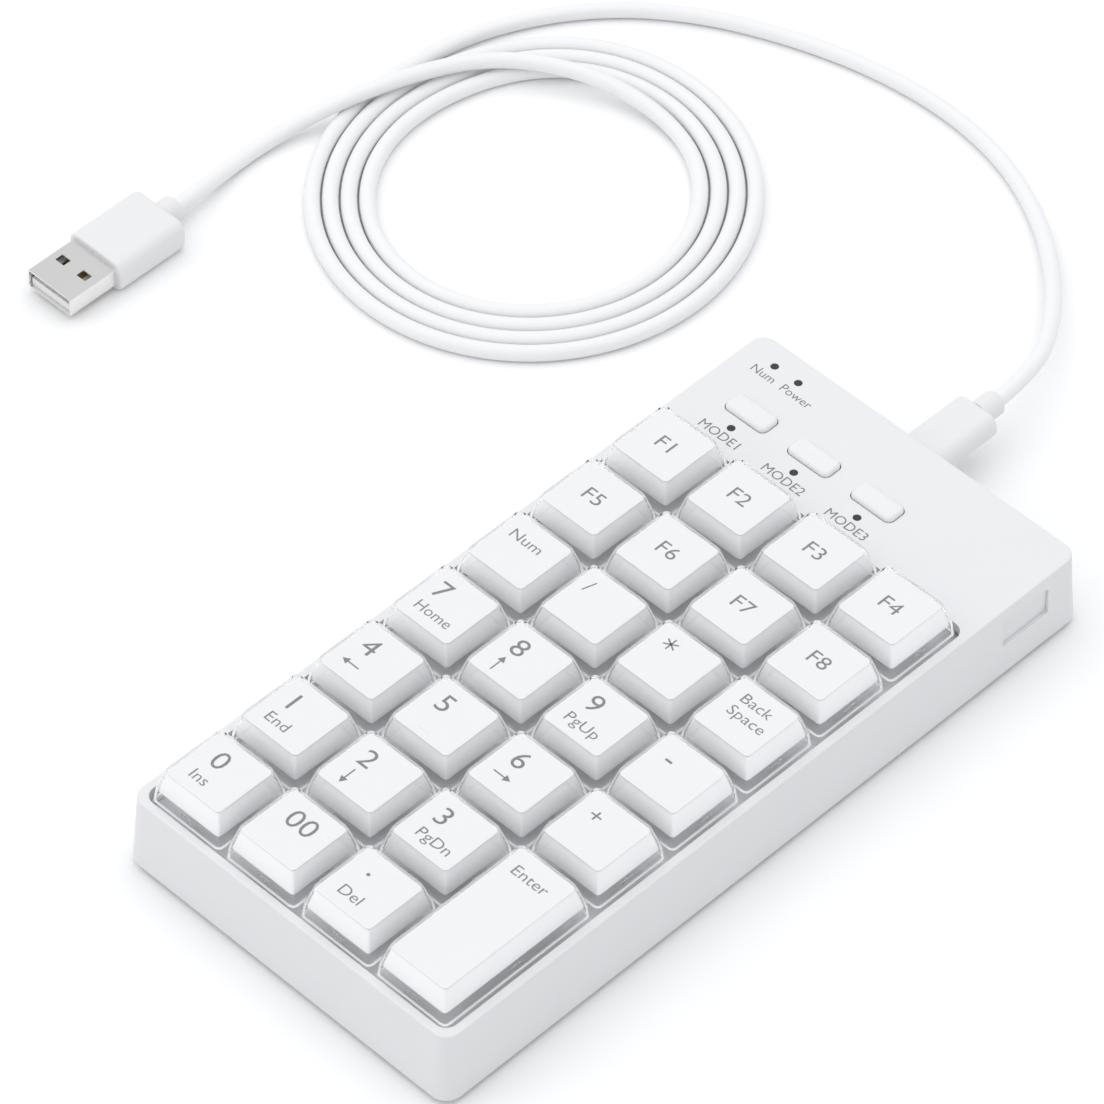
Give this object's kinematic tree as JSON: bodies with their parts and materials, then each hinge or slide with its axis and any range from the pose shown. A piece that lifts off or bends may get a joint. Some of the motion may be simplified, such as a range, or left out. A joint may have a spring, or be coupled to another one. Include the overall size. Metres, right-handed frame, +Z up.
{
  "type": "numeric keypad",
  "caption": "White wired numeric keypad with clear clip-on key covers, function keys, mode buttons, status lamps and a coiled white USB lead lying beside it.",
  "frame": {"origin": "on the desk, under the middle of the housing, between the rubber feet", "axes": "+Z up out of the keys, +Y to the rear wall where the lead leaves, +X to the right-hand side of the user"},
  "size_m": [0.2013, 0.2479, 0.0252],
  "materials": {
    "housing_plastic": "fine satin white ABS, light spark texture",
    "key_plastic": "white ABS inner cap, smooth",
    "key_clear": "clear polished polycarbonate cover",
    "key_label": "printed white card label",
    "key_print": "grey ink",
    "button_plastic": "satin white ABS",
    "foot_rubber": "dark grey rubber",
    "inner_plastic": "natural white moulding",
    "screw_steel": "zinc plated",
    "dome_rubber": "silicone rubber",
    "board_laminate": "green solder mask on glass laminate",
    "chip_black": "black moulding compound",
    "lamp_tint": "dark tinted light guide",
    "plug_plastic": "smooth white moulded plastic",
    "plug_metal": "nickel plated folded steel",
    "contact_gold": "gold plated contact",
    "cable_jacket": "soft white jacket"
  },
  "bodies": {
    "housing": {"top_shell": "housing_plastic", "bottom_cover": "housing_plastic", "rubber_feet": "foot_rubber", "key_guide_plate": "inner_plastic", "housing_screws": "screw_steel", "board_screws": "screw_steel", "plate_screws": "screw_steel", "rubber_dome_sheet": "dome_rubber", "circuit_board": "board_laminate", "controller_chip": "chip_black", "board_components": "chip_black", "status_leds": "inner_plastic", "led_light_guides": "lamp_tint", "mode_switches": "chip_black", "socket_shell": "plug_metal", "socket_tongue": "chip_black", "side_blanking_plate": "housing_plastic", "device_plug_body": "plug_plastic", "device_plug_tip": "plug_metal", "device_plug_relief": "plug_plastic", "usb_plug_body": "plug_plastic", "usb_plug_shell": "plug_metal", "usb_plug_tongue": "plug_plastic", "usb_plug_contacts": "contact_gold", "usb_plug_relief": "plug_plastic", "cable_to_keypad": "cable_jacket", "cable_to_plug": "cable_jacket", "cable_coil": "cable_jacket"},
    "f1_key": {"key_f1": "key_plastic"},
    "f2_key": {"key_f2": "key_plastic"},
    "f3_key": {"key_f3": "key_plastic"},
    "f4_key": {"key_f4": "key_plastic"},
    "f5_key": {"key_f5": "key_plastic"},
    "f6_key": {"key_f6": "key_plastic"},
    "f7_key": {"key_f7": "key_plastic"},
    "f8_key": {"key_f8": "key_plastic"},
    "num_lock_key": {"key_num_lock": "key_plastic"},
    "divide_key": {"key_divide": "key_plastic"},
    "multiply_key": {"key_multiply": "key_plastic"},
    "backspace_key": {"key_backspace": "key_plastic"},
    "7_key": {"key_7": "key_plastic"},
    "8_key": {"key_8": "key_plastic"},
    "9_key": {"key_9": "key_plastic"},
    "minus_key": {"key_minus": "key_plastic"},
    "4_key": {"key_4": "key_plastic"},
    "5_key": {"key_5": "key_plastic"},
    "6_key": {"key_6": "key_plastic"},
    "plus_key": {"key_plus": "key_plastic"},
    "1_key": {"key_1": "key_plastic"},
    "2_key": {"key_2": "key_plastic"},
    "3_key": {"key_3": "key_plastic"},
    "enter_key": {"key_enter": "key_plastic"},
    "0_key": {"key_0": "key_plastic"},
    "00_key": {"key_00": "key_plastic"},
    "decimal_key": {"key_decimal": "key_plastic"},
    "button_1": {"mode_button_1": "button_plastic"},
    "button_2": {"mode_button_2": "button_plastic"},
    "button_3": {"mode_button_3": "button_plastic"}
  },
  "joints": [
    {"name": "press_f1", "type": "slide", "parent": "housing", "child": "f1_key", "axis": [0, 0, -1], "range_m": [0, 0.0028], "stiffness_N_per_m": 150, "springref_m": -0.002, "deforming": ["rubber_dome_sheet"]},
    {"name": "press_f2", "type": "slide", "parent": "housing", "child": "f2_key", "axis": [0, 0, -1], "range_m": [0, 0.0028], "stiffness_N_per_m": 150, "springref_m": -0.002, "deforming": ["rubber_dome_sheet"]},
    {"name": "press_f3", "type": "slide", "parent": "housing", "child": "f3_key", "axis": [0, 0, -1], "range_m": [0, 0.0028], "stiffness_N_per_m": 150, "springref_m": -0.002, "deforming": ["rubber_dome_sheet"]},
    {"name": "press_f4", "type": "slide", "parent": "housing", "child": "f4_key", "axis": [0, 0, -1], "range_m": [0, 0.0028], "stiffness_N_per_m": 150, "springref_m": -0.002, "deforming": ["rubber_dome_sheet"]},
    {"name": "press_f5", "type": "slide", "parent": "housing", "child": "f5_key", "axis": [0, 0, -1], "range_m": [0, 0.0028], "stiffness_N_per_m": 150, "springref_m": -0.002, "deforming": ["rubber_dome_sheet"]},
    {"name": "press_f6", "type": "slide", "parent": "housing", "child": "f6_key", "axis": [0, 0, -1], "range_m": [0, 0.0028], "stiffness_N_per_m": 150, "springref_m": -0.002, "deforming": ["rubber_dome_sheet"]},
    {"name": "press_f7", "type": "slide", "parent": "housing", "child": "f7_key", "axis": [0, 0, -1], "range_m": [0, 0.0028], "stiffness_N_per_m": 150, "springref_m": -0.002, "deforming": ["rubber_dome_sheet"]},
    {"name": "press_f8", "type": "slide", "parent": "housing", "child": "f8_key", "axis": [0, 0, -1], "range_m": [0, 0.0028], "stiffness_N_per_m": 150, "springref_m": -0.002, "deforming": ["rubber_dome_sheet"]},
    {"name": "press_num_lock", "type": "slide", "parent": "housing", "child": "num_lock_key", "axis": [0, 0, -1], "range_m": [0, 0.0028], "stiffness_N_per_m": 150, "springref_m": -0.002, "deforming": ["rubber_dome_sheet"]},
    {"name": "press_divide", "type": "slide", "parent": "housing", "child": "divide_key", "axis": [0, 0, -1], "range_m": [0, 0.0028], "stiffness_N_per_m": 150, "springref_m": -0.002, "deforming": ["rubber_dome_sheet"]},
    {"name": "press_multiply", "type": "slide", "parent": "housing", "child": "multiply_key", "axis": [0, 0, -1], "range_m": [0, 0.0028], "stiffness_N_per_m": 150, "springref_m": -0.002, "deforming": ["rubber_dome_sheet"]},
    {"name": "press_backspace", "type": "slide", "parent": "housing", "child": "backspace_key", "axis": [0, 0, -1], "range_m": [0, 0.0028], "stiffness_N_per_m": 150, "springref_m": -0.002, "deforming": ["rubber_dome_sheet"]},
    {"name": "press_7", "type": "slide", "parent": "housing", "child": "7_key", "axis": [0, 0, -1], "range_m": [0, 0.0028], "stiffness_N_per_m": 150, "springref_m": -0.002, "deforming": ["rubber_dome_sheet"]},
    {"name": "press_8", "type": "slide", "parent": "housing", "child": "8_key", "axis": [0, 0, -1], "range_m": [0, 0.0028], "stiffness_N_per_m": 150, "springref_m": -0.002, "deforming": ["rubber_dome_sheet"]},
    {"name": "press_9", "type": "slide", "parent": "housing", "child": "9_key", "axis": [0, 0, -1], "range_m": [0, 0.0028], "stiffness_N_per_m": 150, "springref_m": -0.002, "deforming": ["rubber_dome_sheet"]},
    {"name": "press_minus", "type": "slide", "parent": "housing", "child": "minus_key", "axis": [0, 0, -1], "range_m": [0, 0.0028], "stiffness_N_per_m": 150, "springref_m": -0.002, "deforming": ["rubber_dome_sheet"]},
    {"name": "press_4", "type": "slide", "parent": "housing", "child": "4_key", "axis": [0, 0, -1], "range_m": [0, 0.0028], "stiffness_N_per_m": 150, "springref_m": -0.002, "deforming": ["rubber_dome_sheet"]},
    {"name": "press_5", "type": "slide", "parent": "housing", "child": "5_key", "axis": [0, 0, -1], "range_m": [0, 0.0028], "stiffness_N_per_m": 150, "springref_m": -0.002, "deforming": ["rubber_dome_sheet"]},
    {"name": "press_6", "type": "slide", "parent": "housing", "child": "6_key", "axis": [0, 0, -1], "range_m": [0, 0.0028], "stiffness_N_per_m": 150, "springref_m": -0.002, "deforming": ["rubber_dome_sheet"]},
    {"name": "press_plus", "type": "slide", "parent": "housing", "child": "plus_key", "axis": [0, 0, -1], "range_m": [0, 0.0028], "stiffness_N_per_m": 150, "springref_m": -0.002, "deforming": ["rubber_dome_sheet"]},
    {"name": "press_1", "type": "slide", "parent": "housing", "child": "1_key", "axis": [0, 0, -1], "range_m": [0, 0.0028], "stiffness_N_per_m": 150, "springref_m": -0.002, "deforming": ["rubber_dome_sheet"]},
    {"name": "press_2", "type": "slide", "parent": "housing", "child": "2_key", "axis": [0, 0, -1], "range_m": [0, 0.0028], "stiffness_N_per_m": 150, "springref_m": -0.002, "deforming": ["rubber_dome_sheet"]},
    {"name": "press_3", "type": "slide", "parent": "housing", "child": "3_key", "axis": [0, 0, -1], "range_m": [0, 0.0028], "stiffness_N_per_m": 150, "springref_m": -0.002, "deforming": ["rubber_dome_sheet"]},
    {"name": "press_enter", "type": "slide", "parent": "housing", "child": "enter_key", "axis": [0, 0, -1], "range_m": [0, 0.0028], "stiffness_N_per_m": 180, "springref_m": -0.002, "deforming": ["rubber_dome_sheet"]},
    {"name": "press_0", "type": "slide", "parent": "housing", "child": "0_key", "axis": [0, 0, -1], "range_m": [0, 0.0028], "stiffness_N_per_m": 150, "springref_m": -0.002, "deforming": ["rubber_dome_sheet"]},
    {"name": "press_00", "type": "slide", "parent": "housing", "child": "00_key", "axis": [0, 0, -1], "range_m": [0, 0.0028], "stiffness_N_per_m": 150, "springref_m": -0.002, "deforming": ["rubber_dome_sheet"]},
    {"name": "press_decimal", "type": "slide", "parent": "housing", "child": "decimal_key", "axis": [0, 0, -1], "range_m": [0, 0.0028], "stiffness_N_per_m": 150, "springref_m": -0.002, "deforming": ["rubber_dome_sheet"]},
    {"name": "press_button_1", "type": "slide", "parent": "housing", "child": "button_1", "axis": [0, 0, -1], "range_m": [0, 0.0005], "stiffness_N_per_m": 400, "springref_m": -0.0005, "deforming": ["mode_switches"]},
    {"name": "press_button_2", "type": "slide", "parent": "housing", "child": "button_2", "axis": [0, 0, -1], "range_m": [0, 0.0005], "stiffness_N_per_m": 400, "springref_m": -0.0005, "deforming": ["mode_switches"]},
    {"name": "press_button_3", "type": "slide", "parent": "housing", "child": "button_3", "axis": [0, 0, -1], "range_m": [0, 0.0005], "stiffness_N_per_m": 400, "springref_m": -0.0005, "deforming": ["mode_switches"]}
  ]
}
